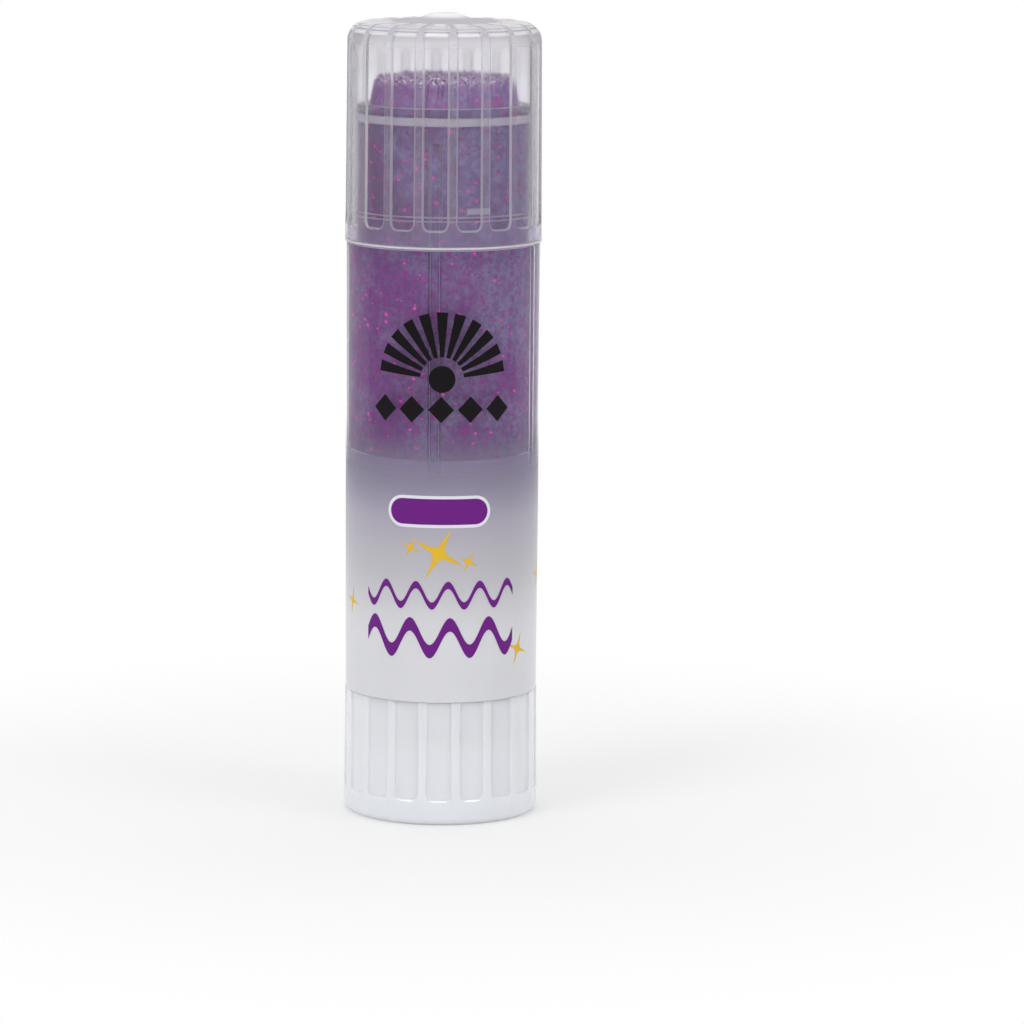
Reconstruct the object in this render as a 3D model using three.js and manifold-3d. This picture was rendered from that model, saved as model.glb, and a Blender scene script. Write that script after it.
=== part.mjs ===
// A twist-up glue stick in a clear ribbed cap: the gel is carried by a keyed cup, and a
// left-hand screw fixed in the ribbed base drives the cup up the barrel.
// Millimetres, +Z up. The stick stands on its base at the origin, with its axis on Z.
// Angles are counted from the front (-Y) towards the right (+X).
import * as THREE from 'three';
import { mergeVertices } from 'three/addons/utils/BufferGeometryUtils.js';
import Module from 'manifold-3d';

const wasm = await Module();
wasm.setup();

const DEGREE = Math.PI / 180;

// Barrel: one bore all the way, a thin neck above and a spigot below.
const boreRadius = 10.1;
const neckWall = 0.9;
const neckLength = 17.7;
const bodyLength = 57.7;
const spigotWall = 0.85;
const spigotLength = 7.0;
const edgeBreak = 0.25;

// Two rings on the neck: the upper one seals against the cap, the lower one grips it.
const ringProud = 0.16;
const sealRingDrop = 1.3;
const sealRingWidth = 0.8;
const gripRingRise = 3.4;
const gripRingWidth = 0.7;

// Short lugs above the grip ring.
const lugCount = 3;
const lugAngle = 24;
const lugWidth = 3.1;
const lugHeight = 0.7;
const lugGap = 0.3;

// Keys that run down the bore and stop the cup from turning.
const keyCount = 4;
const keyAngle = -5;
const keyWidth = 1.2;
const keyDepth = 0.7;
const keyTopDrop = 4.4;
const keyOverrun = 8.0;

// Printed wrap label round the barrel.
const labelThickness = 0.1;
const labelGap = 0.05;
const labelMargin = 0.3;

// Cap.
const capFit = 0.11;
const capWall = 1.33;
const capTaper = 0.22;
const capProud = 0.08;
const capTopWall = 1.0;
const capHeadroom = 6.15;
const capSeatGap = 0.15;
const capShoulderRadius = 2.4;
const capInnerFillet = 1.4;
const crownDrop = 0.3;
const crownFluteLength = 3.3;
const gateFlat = 1.7;
const gateSkirt = 4.2;
const gateHeight = 1.0;

// Flutes, alike on the cap and the base.
const fluteCount = 18;
const fluteDepth = 0.35;
const fluteEdgeHalf = 7.9;
const fluteFloorHalf = 6.7;
const fluteEndRadius = 1.1;
const fluteEndSpread = 0.55;
const fluteMiddleSpread = 0.85;
const capFluteAngle = -4;
const capRimBand = 2.25;
const baseRimBand = 3.2;

// Twist base.
const baseHeight = 16.0;
const baseWall = 1.2;
const baseFlare = 0.15;
const baseProud = 0.05;
const baseFootRound = 1.0;
const standWidth = 2.1;
const recessDepth = 1.6;
const baseFloor = 1.4;
const bossWall = 1.6;
const baseBossLift = 0.4;
const baseBossRise = 1.0;
const baseFillet = 1.0;
const turnClearance = 0.2;
const turnGap = 0.2;

// Snap bead on the spigot and the groove for it in the base.
const snapProud = 0.3;
const snapWidth = 1.2;
const snapFoot = 1.6;

// Screw and its square foot, pressed into the base.
const screwTurns = 12;
const screwPitch = 3.0;
const screwRoot = 2.5;
const threadDepth = 0.8;
const screwCrestShare = 0.33;
const screwRootShare = 0.33;
const screwChamfer = 0.5;
const flangeLedge = 1.1;
const flangeThickness = 1.0;
const footWidth = 3.9;
const footClearance = 0.15;
const footFloor = 0.8;
const seatGap = 0.2;
const threadSteps = 16;

// Cup that carries the gel, with a nut at the foot of its long sleeve.
const nutLength = 6.0;
const nutEngagement = 4.0;
const nutClearance = 0.2;
const sleeveWall = 1.1;
const sleeveClearance = 0.3;
const sleeveRoof = 0.6;
const sleeveGap = 0.4;
const cupHeight = 8.5;
const cupWall = 1.2;
const cupFloor = 1.2;
const cupClearance = 0.3;
const cupRimRise = 0.3;
const cupChamfer = 0.5;
const lipProud = 0.12;
const lipWidth = 0.6;
const lipSpacing = 2.3;
const keyClearance = 0.2;

// Gel.
const gelClearance = 0.25;
const gelProud = 3.15;
const gelCrown = 0.3;
const gelTaper = 1.4;
const gelTaperHeight = 2.65;
const gelEdge = 0.8;
const gelSeat = 0.3;

// Facets: four to each flute, and the same number on everything that fits in the bore.
const stepsPerFlute = 4;
const spinSteps = fluteCount * stepsPerFlute;
const shoulderSteps = 4;
const filletSteps = 3;
const fluteStep = 360 / fluteCount;
const sleeveSteps = 24;

// How far a cutter runs past what it cuts, and how near two corners are taken as one.
const cutterReach = 1.0;
const weldDistance = 1e-4;

// Heights that follow from each other, from the base up.
const bodyFoot = baseHeight + turnGap;
const shoulder = bodyFoot + bodyLength;
const mouth = shoulder + neckLength;
const gelTop = mouth + gelProud;
const capRim = shoulder + capSeatGap;
const capCeiling = gelTop + capHeadroom;
const capTop = capCeiling + capTopWall;
const floorTop = recessDepth + baseFloor;
const bossTop = floorTop + baseBossRise;
const footPocket = baseBossLift + footFloor;
const flangeFoot = bossTop + seatGap;
const flangeTop = flangeFoot + flangeThickness;
const threadFoot = flangeTop - flangeThickness / 2;
const travel = screwTurns * screwPitch;
const sleeveFoot = flangeTop + sleeveGap;
const screwTop = sleeveFoot + travel + nutEngagement;
const sleeveRoofFoot = screwTop + sleeveGap;
const sleeveTop = sleeveRoofFoot + sleeveRoof;
const cupRim = sleeveTop + cupRimRise;
const cupFoot = cupRim - cupHeight;
const cupFloorTop = cupFoot + cupFloor;
const keyFoot = cupFoot - keyOverrun;
const keyTop = mouth - keyTopDrop;

// Radii that follow from each other, from the bore out.
const neckRadius = boreRadius + neckWall;
const ringRadius = neckRadius + ringProud;
const capBore = ringRadius + capFit;
const capRadius = capBore + capWall;
const labelTopRadius = capRadius - capProud;
const spigotRadius = boreRadius + spigotWall;
const baseBore = spigotRadius + turnClearance;
const baseTopRadius = baseBore + baseWall;
const baseFootRadius = baseTopRadius + baseFlare;
const labelFootRadius = baseTopRadius - baseProud;
const keyRadius = boreRadius - keyDepth;
const notchRadius = keyRadius - keyClearance;
const cupRadius = boreRadius - cupClearance;
const gelRadius = boreRadius - gelClearance;
const screwCrest = screwRoot + threadDepth;
const sleeveBore = screwCrest + sleeveClearance;
const sleeveRadius = sleeveBore + sleeveWall;
const pocketWidth = footWidth + 2 * footClearance;
const bossRadius = pocketWidth * Math.SQRT1_2 + bossWall;
const flangeRadius = footWidth * Math.SQRT1_2 + flangeLedge;
const notchWidth = keyWidth + 2 * keyClearance;
const cupInnerRadius = cupRadius - cupWall;

function at(r, z) {
  return new THREE.Vector2(r, z);
}

// Points of a quarter round between two directions, in degrees above the horizontal.
function round(centreR, centreZ, radius, from, to, steps) {
  const points = [];
  for (let k = 0; k <= steps; k += 1) {
    const angle = (from + (to - from) * k / steps) * DEGREE;
    points.push(at(centreR + radius * Math.cos(angle), centreZ + radius * Math.sin(angle)));
  }
  return points;
}

// Outline points of a small ring that stands proud of a wall, going up.
function ringOutline(wallRadius, foot, width, proud) {
  const lean = Math.min(proud, width / 3);
  return [
    at(wallRadius, foot),
    at(wallRadius + proud, foot + lean),
    at(wallRadius + proud, foot + width - lean),
    at(wallRadius, foot + width),
  ];
}

// Leaves position alone, shares the vertices that touch and drops the triangles that collapse.
function closeUp(geometry) {
  const bare = geometry.clone();
  bare.deleteAttribute('normal');
  bare.deleteAttribute('uv');
  const merged = mergeVertices(bare, weldDistance);
  const corners = merged.index.array;
  const kept = [];
  for (let k = 0; k < corners.length; k += 3) {
    const [a, b, c] = corners.slice(k, k + 3);
    if (a !== b && b !== c && c !== a) {
      kept.push(a, b, c);
    }
  }
  merged.setIndex(kept);
  return merged;
}

// An outline of radii and heights spun about Z.
function spin(outline, steps = spinSteps) {
  const geometry = new THREE.LatheGeometry(outline, steps);
  geometry.rotateX(Math.PI / 2);
  return closeUp(geometry);
}

function toSolid(geometry) {
  const closed = closeUp(geometry);
  return new wasm.Manifold(new wasm.Mesh({
    numProp: 3,
    vertProperties: new Float32Array(closed.attributes.position.array),
    triVerts: new Uint32Array(closed.index.array),
  }));
}

function toGeometry(solid) {
  const mesh = solid.getMesh();
  const geometry = new THREE.BufferGeometry();
  geometry.setAttribute('position', new THREE.BufferAttribute(mesh.vertProperties, 3));
  geometry.setIndex(new THREE.BufferAttribute(mesh.triVerts, 1));
  return geometry;
}

// Angles of a number of copies spaced evenly round the axis.
function around(count, first) {
  return Array.from({ length: count }, (_, k) => first + k * 360 / count);
}

// A block that stands radially at an angle from the front, between two radii and two heights.
function radialBlock(angle, width, inner, outer, foot, top) {
  const block = new THREE.BoxGeometry(width, outer - inner, top - foot);
  block.translate(0, -(inner + outer) / 2, (foot + top) / 2);
  block.rotateZ(angle * DEGREE);
  return toSolid(block);
}

// Presses flutes into a spun wall. A row with a depth is fluted: tilt is the way its wall faces,
// in degrees above the horizontal, and spread is how far its flutes have opened. The four steps
// of a flute are its floor and its edge on one side, then the edge and the floor of the next.
function spinFluted(rows, centre) {
  const outline = rows.map((row) => at(row.r, row.z));
  const start = centre + 180 / spinSteps;
  const geometry = new THREE.LatheGeometry(outline, spinSteps, start * DEGREE);
  const position = geometry.attributes.position;
  for (let k = 0; k < position.count; k += 1) {
    const row = rows[k % rows.length];
    if (row.depth === undefined) {
      continue;
    }
    const step = Math.floor(k / rows.length);
    const place = step % stepsPerFlute;
    const side = place < stepsPerFlute / 2 ? 1 : -1;
    const onFloor = place === 0 || place === stepsPerFlute - 1;
    const flute = Math.floor(step / stepsPerFlute + 0.5);
    const half = (onFloor ? fluteFloorHalf : fluteEdgeHalf) * row.spread;
    const angle = (centre + flute * fluteStep + side * half) * DEGREE;
    const depth = onFloor ? row.depth : 0;
    const r = row.r - depth * Math.cos(row.tilt * DEGREE);
    const y = row.z - depth * Math.sin(row.tilt * DEGREE);
    position.setXYZ(k, r * Math.sin(angle), y, r * Math.cos(angle));
  }
  geometry.rotateX(Math.PI / 2);
  return closeUp(geometry);
}

function plainRow(point) {
  return { r: point.x, z: point.y };
}

function fluteRow(r, z, tilt, depth, spread) {
  return { r, z, tilt, depth, spread };
}

// Rows where the flutes of an upright wall end in a round, going up from that end.
function fluteEndRows(radiusAt, end) {
  const middle = end + fluteEndRadius / 3;
  const open = end + fluteEndRadius;
  return [
    fluteRow(radiusAt(end), end, 0, 0, fluteEndSpread),
    fluteRow(radiusAt(middle), middle, 0, fluteDepth, fluteMiddleSpread),
    fluteRow(radiusAt(open), open, 0, fluteDepth, 1),
  ];
}

// Cap: a clear cup, fluted from above its rim up over the shoulder and on to its top, with a
// low boss in the middle where the plastic was let in.
function makeCap() {
  const shoulderFoot = capTop - crownDrop - capShoulderRadius;
  const topRadius = capRadius - capTaper;
  const shoulderCentre = topRadius - capShoulderRadius;
  const radiusAt = (z) => capRadius - capTaper * (z - capRim) / (shoulderFoot - capRim);
  const inside = [
    at(0, capCeiling),
    ...round(capBore - capInnerFillet, capCeiling - capInnerFillet, capInnerFillet, 90, 0, filletSteps),
    at(capBore, capRim + edgeBreak),
    at(capBore + edgeBreak, capRim),
    at(capRadius - edgeBreak, capRim),
    at(capRadius, capRim + edgeBreak),
  ];
  const side = fluteEndRows(radiusAt, capRim + capRimBand);
  const shoulderRows = round(shoulderCentre, shoulderFoot, capShoulderRadius, 0, 90, shoulderSteps)
    .map((point, k) => fluteRow(point.x, point.y, k * 90 / shoulderSteps, fluteDepth, 1));
  const discRadius = shoulderCentre - crownFluteLength;
  const crown = [
    fluteRow(discRadius + fluteEndRadius, capTop - crownDrop / 3, 90, fluteDepth, 1),
    fluteRow(discRadius + fluteEndRadius / 3, capTop, 90, fluteDepth, fluteMiddleSpread),
    fluteRow(discRadius, capTop, 90, 0, fluteEndSpread),
  ];
  const boss = [at(gateSkirt, capTop), at(gateFlat, capTop + gateHeight), at(0, capTop + gateHeight)];
  const rows = [
    ...inside.map(plainRow),
    ...side,
    ...shoulderRows,
    ...crown,
    ...boss.map(plainRow),
  ];
  return spinFluted(rows, capFluteAngle);
}

// Barrel: spigot, tapering body and ringed neck in one moulding, keyed down its bore.
function makeBarrel() {
  const spigotFoot = bodyFoot - spigotLength;
  const skin = labelThickness + labelGap;
  const bodyFootRadius = labelFootRadius - skin;
  const bodyTopRadius = labelTopRadius - skin;
  const outline = [
    at(boreRadius, spigotFoot),
    at(spigotRadius - edgeBreak, spigotFoot),
    at(spigotRadius, spigotFoot + edgeBreak),
    ...ringOutline(spigotRadius, spigotFoot + snapFoot, snapWidth, snapProud),
    at(spigotRadius, bodyFoot),
    at(bodyFootRadius - edgeBreak, bodyFoot),
    at(bodyFootRadius, bodyFoot + edgeBreak),
    at(bodyTopRadius, shoulder - edgeBreak),
    at(bodyTopRadius - edgeBreak, shoulder),
    at(neckRadius, shoulder),
    ...ringOutline(neckRadius, shoulder + gripRingRise, gripRingWidth, ringProud),
    ...ringOutline(neckRadius, mouth - sealRingDrop - sealRingWidth, sealRingWidth, ringProud),
    at(neckRadius, mouth - edgeBreak),
    at(neckRadius - edgeBreak, mouth),
    at(boreRadius + edgeBreak, mouth),
    at(boreRadius, mouth - edgeBreak),
    at(boreRadius, spigotFoot),
  ];
  let barrel = toSolid(spin(outline));
  const root = boreRadius + neckWall / 2;
  for (const angle of around(keyCount, keyAngle)) {
    barrel = barrel.add(radialBlock(angle, keyWidth, keyRadius, root, keyFoot, keyTop));
  }
  const lugFoot = shoulder + gripRingRise + gripRingWidth + lugGap;
  const lugFace = Math.sqrt(ringRadius ** 2 - (lugWidth / 2) ** 2);
  for (const angle of around(lugCount, lugAngle)) {
    barrel = barrel.add(radialBlock(angle, lugWidth, root, lugFace, lugFoot, lugFoot + lugHeight));
  }
  return toGeometry(barrel);
}

// Label: a thin printed film wrapped round the whole tapering body.
function makeLabel() {
  const foot = bodyFoot + labelMargin;
  const top = shoulder - labelMargin;
  return spin([
    at(labelFootRadius - labelThickness, foot),
    at(labelFootRadius, foot),
    at(labelTopRadius, top),
    at(labelTopRadius - labelThickness, top),
    at(labelFootRadius - labelThickness, foot),
  ]);
}

// Base: a white fluted skirt with a floor, which turns on the spigot and stands on its rim.
function makeBase() {
  const radiusAt = (z) => baseFootRadius - baseFlare * z / baseHeight;
  const grooveFoot = bodyFoot - spigotLength + snapFoot - turnClearance;
  const grooveWidth = snapWidth + 2 * turnClearance;
  const groove = ringOutline(baseBore, grooveFoot, grooveWidth, snapProud).reverse();
  const standOuter = baseFootRadius - baseFootRound;
  const standInner = standOuter - standWidth;
  const underside = [
    at(0, baseBossLift),
    at(bossRadius, baseBossLift),
    at(bossRadius, recessDepth),
    at(standInner, recessDepth),
    at(standInner, 0),
    ...round(standOuter, baseFootRound, baseFootRound, -90, 0, filletSteps),
  ];
  const side = [
    ...fluteEndRows(radiusAt, baseRimBand),
    fluteRow(baseTopRadius, baseHeight, 0, fluteDepth, 1),
  ];
  const inside = [
    at(baseBore, baseHeight),
    ...groove,
    at(baseBore, floorTop + baseFillet),
    at(baseBore - baseFillet, floorTop),
    at(bossRadius, floorTop),
    at(bossRadius, bossTop),
    at(0, bossTop),
  ];
  const skirt = spinFluted([...underside.map(plainRow), ...side, ...inside.map(plainRow)], 0);
  const pocket = new THREE.BoxGeometry(pocketWidth, pocketWidth, bossTop);
  pocket.translate(0, 0, footPocket + bossTop / 2);
  return toGeometry(toSolid(skirt).subtract(toSolid(pocket)));
}

// A left-hand trapezoid thread about Z, from the foot of the screw's thread to past a height, so
// that a nut cut with it is in mesh. One pitch of its profile runs root, flank, crest, flank.
// grow is how far it is widened all round.
function threadBlank(top, grow) {
  const root = screwRoot + grow;
  const crest = screwCrest + grow;
  const rootEnd = screwPitch * screwRootShare - grow;
  const crestLength = screwPitch * screwCrestShare + 2 * grow;
  const flank = (screwPitch - rootEnd - grow - crestLength) / 2;
  const profile = [
    at(root, grow),
    at(root, rootEnd),
    at(crest, rootEnd + flank),
    at(crest, rootEnd + flank + crestLength),
  ];
  const steps = Math.ceil((top - threadFoot) / screwPitch + 1) * threadSteps;
  const rowsPerStep = profile.length;
  const positions = [];
  for (let k = 0; k <= steps + threadSteps; k += 1) {
    const angle = -2 * Math.PI * k / threadSteps;
    const climb = threadFoot + screwPitch * (k / threadSteps - 1);
    for (const point of profile) {
      positions.push(point.x * Math.sin(angle), -point.x * Math.cos(angle), climb + point.y);
    }
  }
  const vertex = (k, j) => (j < rowsPerStep ? k * rowsPerStep + j : (k + threadSteps) * rowsPerStep);
  const footCentre = positions.length / 3;
  positions.push(0, 0, threadFoot - screwPitch / 2);
  const topCentre = positions.length / 3;
  positions.push(0, 0, positions[3 * vertex(steps, 0) + 2] + screwPitch / 2);
  const corners = [];
  for (let k = 0; k < steps; k += 1) {
    for (let j = 0; j < rowsPerStep; j += 1) {
      const [a, b, c, d] = [vertex(k, j), vertex(k + 1, j), vertex(k + 1, j + 1), vertex(k, j + 1)];
      corners.push(a, d, c, a, c, b);
    }
  }
  for (let k = 0; k < threadSteps; k += 1) {
    corners.push(footCentre, vertex(k, 0), vertex(k + 1, 0));
    corners.push(topCentre, vertex(steps + k + 1, 0), vertex(steps + k, 0));
  }
  for (let j = 0; j < rowsPerStep; j += 1) {
    corners.push(footCentre, vertex(0, j + 1), vertex(0, j));
    corners.push(topCentre, vertex(steps, j), vertex(steps, j + 1));
  }
  const geometry = new THREE.BufferGeometry();
  geometry.setAttribute('position', new THREE.Float32BufferAttribute(positions, 3));
  geometry.setIndex(corners);
  return geometry;
}

// Screw: the thread cut to length over a flange and a square foot.
function makeScrew() {
  const blank = toSolid(threadBlank(screwTop, 0));
  const length = toSolid(spin([
    at(0, threadFoot),
    at(screwCrest + cutterReach, threadFoot),
    at(screwCrest + cutterReach, screwTop - screwChamfer - cutterReach),
    at(screwCrest - screwChamfer, screwTop),
    at(0, screwTop),
  ], threadSteps));
  const flange = toSolid(spin([
    at(0, flangeFoot),
    at(flangeRadius, flangeFoot),
    at(flangeRadius, flangeTop),
    at(0, flangeTop),
  ], sleeveSteps));
  const footStart = footPocket + seatGap;
  const footHeight = flangeTop - footStart;
  const foot = new THREE.BoxGeometry(footWidth, footWidth, footHeight);
  foot.translate(0, 0, footStart + footHeight / 2);
  return toGeometry(blank.intersect(length).add(flange).add(toSolid(foot)));
}

// Cup: it carries the gel, wipes the bore with two lips, slides on the keys and is driven
// through the nut at the foot of its hollow sleeve.
function makeCup() {
  const lipTop = cupRim - lipWidth;
  const cup = toSolid(spin([
    at(0, cupFoot),
    at(cupRadius - cupChamfer, cupFoot),
    at(cupRadius, cupFoot + cupChamfer),
    ...ringOutline(cupRadius, lipTop - lipSpacing - lipWidth, lipWidth, lipProud),
    ...ringOutline(cupRadius, lipTop - lipWidth, lipWidth, lipProud),
    at(cupRadius, cupRim),
    at(cupInnerRadius, cupRim),
    at(cupInnerRadius, cupFloorTop + cupChamfer),
    at(cupInnerRadius - cupChamfer, cupFloorTop),
    at(0, cupFloorTop),
  ]));
  const sleeve = toSolid(spin([
    at(0, sleeveFoot),
    at(sleeveRadius, sleeveFoot),
    at(sleeveRadius, sleeveTop),
    at(0, sleeveTop),
  ], sleeveSteps));
  const nutTop = sleeveFoot + nutLength;
  const bore = toSolid(spin([
    at(0, nutTop),
    at(sleeveBore, nutTop),
    at(sleeveBore, sleeveRoofFoot),
    at(0, sleeveRoofFoot),
  ], sleeveSteps));
  const tap = toSolid(threadBlank(nutTop, nutClearance));
  let carrier = cup.add(sleeve).subtract(bore).subtract(tap);
  for (const angle of around(keyCount, keyAngle)) {
    const [foot, top] = [cupFoot - cutterReach, cupRim + cutterReach];
    carrier = carrier.subtract(radialBlock(angle, notchWidth, notchRadius, boreRadius, foot, top));
  }
  return toGeometry(carrier);
}

// Gel: a cast plug that fills the cup and the bore and stands out of the mouth, drawn in at
// its top. It is grooved where the keys run.
function makeGel() {
  const plugRadius = cupInnerRadius - gelClearance;
  const foot = cupFloorTop + gelSeat;
  const ledge = cupRim + gelSeat;
  const sleeveHole = sleeveRadius + gelClearance;
  const topRadius = gelRadius - gelTaper;
  let gel = toSolid(spin([
    at(0, cupRim),
    at(sleeveHole, cupRim),
    at(sleeveHole, foot),
    at(plugRadius - cupChamfer, foot),
    at(plugRadius, foot + cupChamfer),
    at(plugRadius, ledge),
    at(gelRadius, ledge),
    at(gelRadius, gelTop - gelCrown - gelTaperHeight),
    at(topRadius, gelTop - gelCrown),
    at(topRadius - gelEdge, gelTop),
    at(0, gelTop),
  ]));
  const grooveTop = keyTop + gelSeat;
  for (const angle of around(keyCount, keyAngle)) {
    gel = gel.subtract(radialBlock(angle, notchWidth, notchRadius, boreRadius, cupRim, grooveTop));
  }
  return toGeometry(gel);
}

function clearPlastic() {
  return new THREE.MeshStandardMaterial({
    color: 0xd3d6da, roughness: 0.22, metalness: 0, transparent: true, opacity: 0.35,
  });
}

function hazyPlastic() {
  return new THREE.MeshStandardMaterial({
    color: 0xc4c8cf, roughness: 0.3, metalness: 0, transparent: true, opacity: 0.45,
  });
}

function printedFilm() {
  return new THREE.MeshStandardMaterial({
    color: 0xd9dae2, roughness: 0.25, metalness: 0, transparent: true, opacity: 0.6,
  });
}

function whitePlastic() {
  return new THREE.MeshStandardMaterial({ color: 0xdadbe0, roughness: 0.4, metalness: 0 });
}

function naturalPlastic() {
  return new THREE.MeshStandardMaterial({ color: 0xe3e4e6, roughness: 0.35, metalness: 0 });
}

function glitterGel() {
  return new THREE.MeshStandardMaterial({ color: 0x706892, roughness: 0.3, metalness: 0 });
}

function piece(name, geometry, material) {
  const mesh = new THREE.Mesh(geometry, material);
  mesh.geometry.computeVertexNormals();
  mesh.name = name;
  return mesh;
}

// What turns together, slides together and comes off together is grouped.
function glueStick() {
  const stick = new THREE.Group();
  const fixed = new THREE.Group();
  fixed.add(piece('barrel', makeBarrel(), hazyPlastic()));
  fixed.add(piece('wrap_label', makeLabel(), printedFilm()));
  const turning = new THREE.Group();
  turning.add(piece('twist_base', makeBase(), whitePlastic()));
  turning.add(piece('lead_screw', makeScrew(), whitePlastic()));
  const rising = new THREE.Group();
  rising.add(piece('carrier_cup', makeCup(), naturalPlastic()));
  rising.add(piece('gel_stick', makeGel(), glitterGel()));
  stick.add(fixed, turning, rising);
  stick.add(piece('cap', makeCap(), clearPlastic()));
  return stick;
}

export default glueStick();
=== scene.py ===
import math
import random

import bpy
from mathutils import Euler, Matrix, Vector


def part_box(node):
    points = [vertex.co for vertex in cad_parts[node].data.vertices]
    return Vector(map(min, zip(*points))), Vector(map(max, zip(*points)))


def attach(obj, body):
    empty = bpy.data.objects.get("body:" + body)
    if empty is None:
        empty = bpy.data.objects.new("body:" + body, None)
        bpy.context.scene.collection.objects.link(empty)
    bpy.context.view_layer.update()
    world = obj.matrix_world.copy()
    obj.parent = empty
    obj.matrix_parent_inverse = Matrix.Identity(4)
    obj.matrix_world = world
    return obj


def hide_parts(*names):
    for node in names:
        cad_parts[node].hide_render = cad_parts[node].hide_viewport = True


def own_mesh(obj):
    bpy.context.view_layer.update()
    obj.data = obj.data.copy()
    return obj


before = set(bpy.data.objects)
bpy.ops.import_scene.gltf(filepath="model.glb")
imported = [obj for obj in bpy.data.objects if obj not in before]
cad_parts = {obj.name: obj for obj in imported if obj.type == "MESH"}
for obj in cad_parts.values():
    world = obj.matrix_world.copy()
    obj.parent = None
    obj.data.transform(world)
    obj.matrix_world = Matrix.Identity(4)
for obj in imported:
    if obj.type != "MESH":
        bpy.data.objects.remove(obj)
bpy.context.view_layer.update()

# Twist base: one white polypropylene moulding, with eighteen flutes for grip. It snaps over a bead
# on the barrel's spigot, a pocket in its floor holds the square foot of the screw, and it stands
# on a flat ring round a shallow recess.
MM = 0.001
base_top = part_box("twist_base")[1].z / MM
base_foot_radius = 12.53
base_top_radius = 12.38
base_bore = 11.15
base_floor = (1.6, 3.0)  # underside and top
base_boss = (4.57, 0.4, 4.0)  # radius, underside and top
base_recess_radius = 9.4
base_columns = 360
wide_core = 1.0  # the last ring of a flat, before it is filled
base_flute_end = 3.1
screw_pocket = (4.2, 1.2)  # width and floor
snap_groove = (10.6, 12.2, 0.3)  # from, to and depth
flute_step = 20  # degrees
flute_half = 8  # degrees
flute_depth = 0.24
base_flute_wall = 0.2
flute_corner = 1.0
corner_room = 1.3  # above a flute's end, for its round corners


def eased(corners, steps=5):
    """An outline in millimetres from corners of (radius, height, rounding)."""
    outline = []
    for k, (r, z, rounding) in enumerate(corners):
        point = Vector((r, z))
        if not rounding:
            outline.append(point)
            continue
        before = (Vector(corners[k - 1][:2]) - point).normalized()
        after = (Vector(corners[(k + 1) % len(corners)][:2]) - point).normalized()
        half = before.angle(after) / 2
        centre = point + (before + after).normalized() * rounding / math.sin(half)
        start = point + before * rounding / math.tan(half)
        end = point + after * rounding / math.tan(half)
        first = math.atan2(start.y - centre.y, start.x - centre.x)
        sweep = math.remainder(math.atan2(end.y - centre.y, end.x - centre.x) - first, math.tau)
        arc = [first + sweep * step / steps for step in range(steps + 1)]
        outline += [centre + Vector((math.cos(a), math.sin(a))) * rounding for a in arc]
    return outline


def put_down():
    """Leaves edit mode, with nothing selected."""
    if bpy.context.mode != "OBJECT":
        bpy.ops.object.mode_set(mode="OBJECT")
    bpy.ops.object.select_all(action="DESELECT")


def turned(name, outline, columns, closed=True):
    """A circle extruded ring by ring along an outline, as on a lathe. An outline that isn't
    closed on itself has its two ends filled."""
    put_down()
    bpy.ops.mesh.primitive_circle_add(
        vertices=columns, radius=outline[0].x * MM, location=(0, 0, outline[0].y * MM)
    )
    piece = bpy.context.object
    piece.name = name
    bpy.ops.object.transform_apply()
    bpy.ops.object.mode_set(mode="EDIT")
    bpy.ops.mesh.select_all(action="SELECT")
    rings = outline + outline[:1] if closed else outline
    for last, ring in zip(rings, rings[1:]):
        bpy.ops.mesh.extrude_edges_move(
            TRANSFORM_OT_translate={"value": (0, 0, (ring.y - last.y) * MM)}
        )
        grow = ring.x / last.x
        bpy.ops.transform.resize(value=(grow, grow, 1), center_override=(0, 0, 0))
    bpy.ops.mesh.select_all(action="SELECT")
    bpy.ops.mesh.remove_doubles(threshold=0.002 * MM)
    if not closed:
        bpy.ops.mesh.fill_holes(sides=0)
        bpy.ops.mesh.select_all(action="SELECT")
    bpy.ops.mesh.normals_make_consistent(inside=False)
    bpy.ops.object.mode_set(mode="OBJECT")
    return piece


def work_on(piece):
    """Makes a piece the only one that is selected."""
    put_down()
    piece.select_set(True)
    bpy.context.view_layer.objects.active = piece


def pick(piece, wanted, kind="FACE"):
    """Enters edit mode with the faces, or the points, whose place in millimetres and normal
    pass a test."""
    work_on(piece)
    bpy.ops.object.mode_set(mode="EDIT")
    bpy.ops.mesh.select_mode(type=kind)
    bpy.ops.mesh.select_all(action="DESELECT")
    bpy.ops.object.mode_set(mode="OBJECT")
    if kind == "FACE":
        for face in piece.data.polygons:
            face.select = wanted(face.center / MM, face.normal)
    else:
        for point in piece.data.vertices:
            point.select = wanted(point.co / MM, point.normal)
    bpy.ops.object.mode_set(mode="EDIT")


def off_by(place, first, step):
    """Degrees round the axis from the nearest copy, counted from the front to the right."""
    angle = math.degrees(math.atan2(place.x, -place.y))
    return (angle - first + step / 2) % step - step / 2


def draw_in(piece, first, at_end, move):
    """Moves the points at a flute's end next to its two edges, so that its corners are round."""
    across = math.radians(1) * base_foot_radius
    for column in range(math.ceil(flute_corner / across)):
        rise = flute_corner - math.sqrt(flute_corner**2 - (flute_corner - column * across) ** 2)
        edge = flute_half - column
        pick(
            piece,
            lambda at, to: at_end(at) and abs(abs(off_by(at, first, flute_step)) - edge) < 0.1,
            "VERT",
        )
        move(rise)


def press_flutes(piece, first, wall, on_flute):
    """Presses every flute in, where a face passes the test, with walls of a width."""
    pick(piece, lambda at, to: on_flute(at, to) and abs(off_by(at, first, flute_step)) < flute_half)
    bpy.ops.mesh.inset(thickness=wall * MM, depth=-flute_depth * MM)


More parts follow.
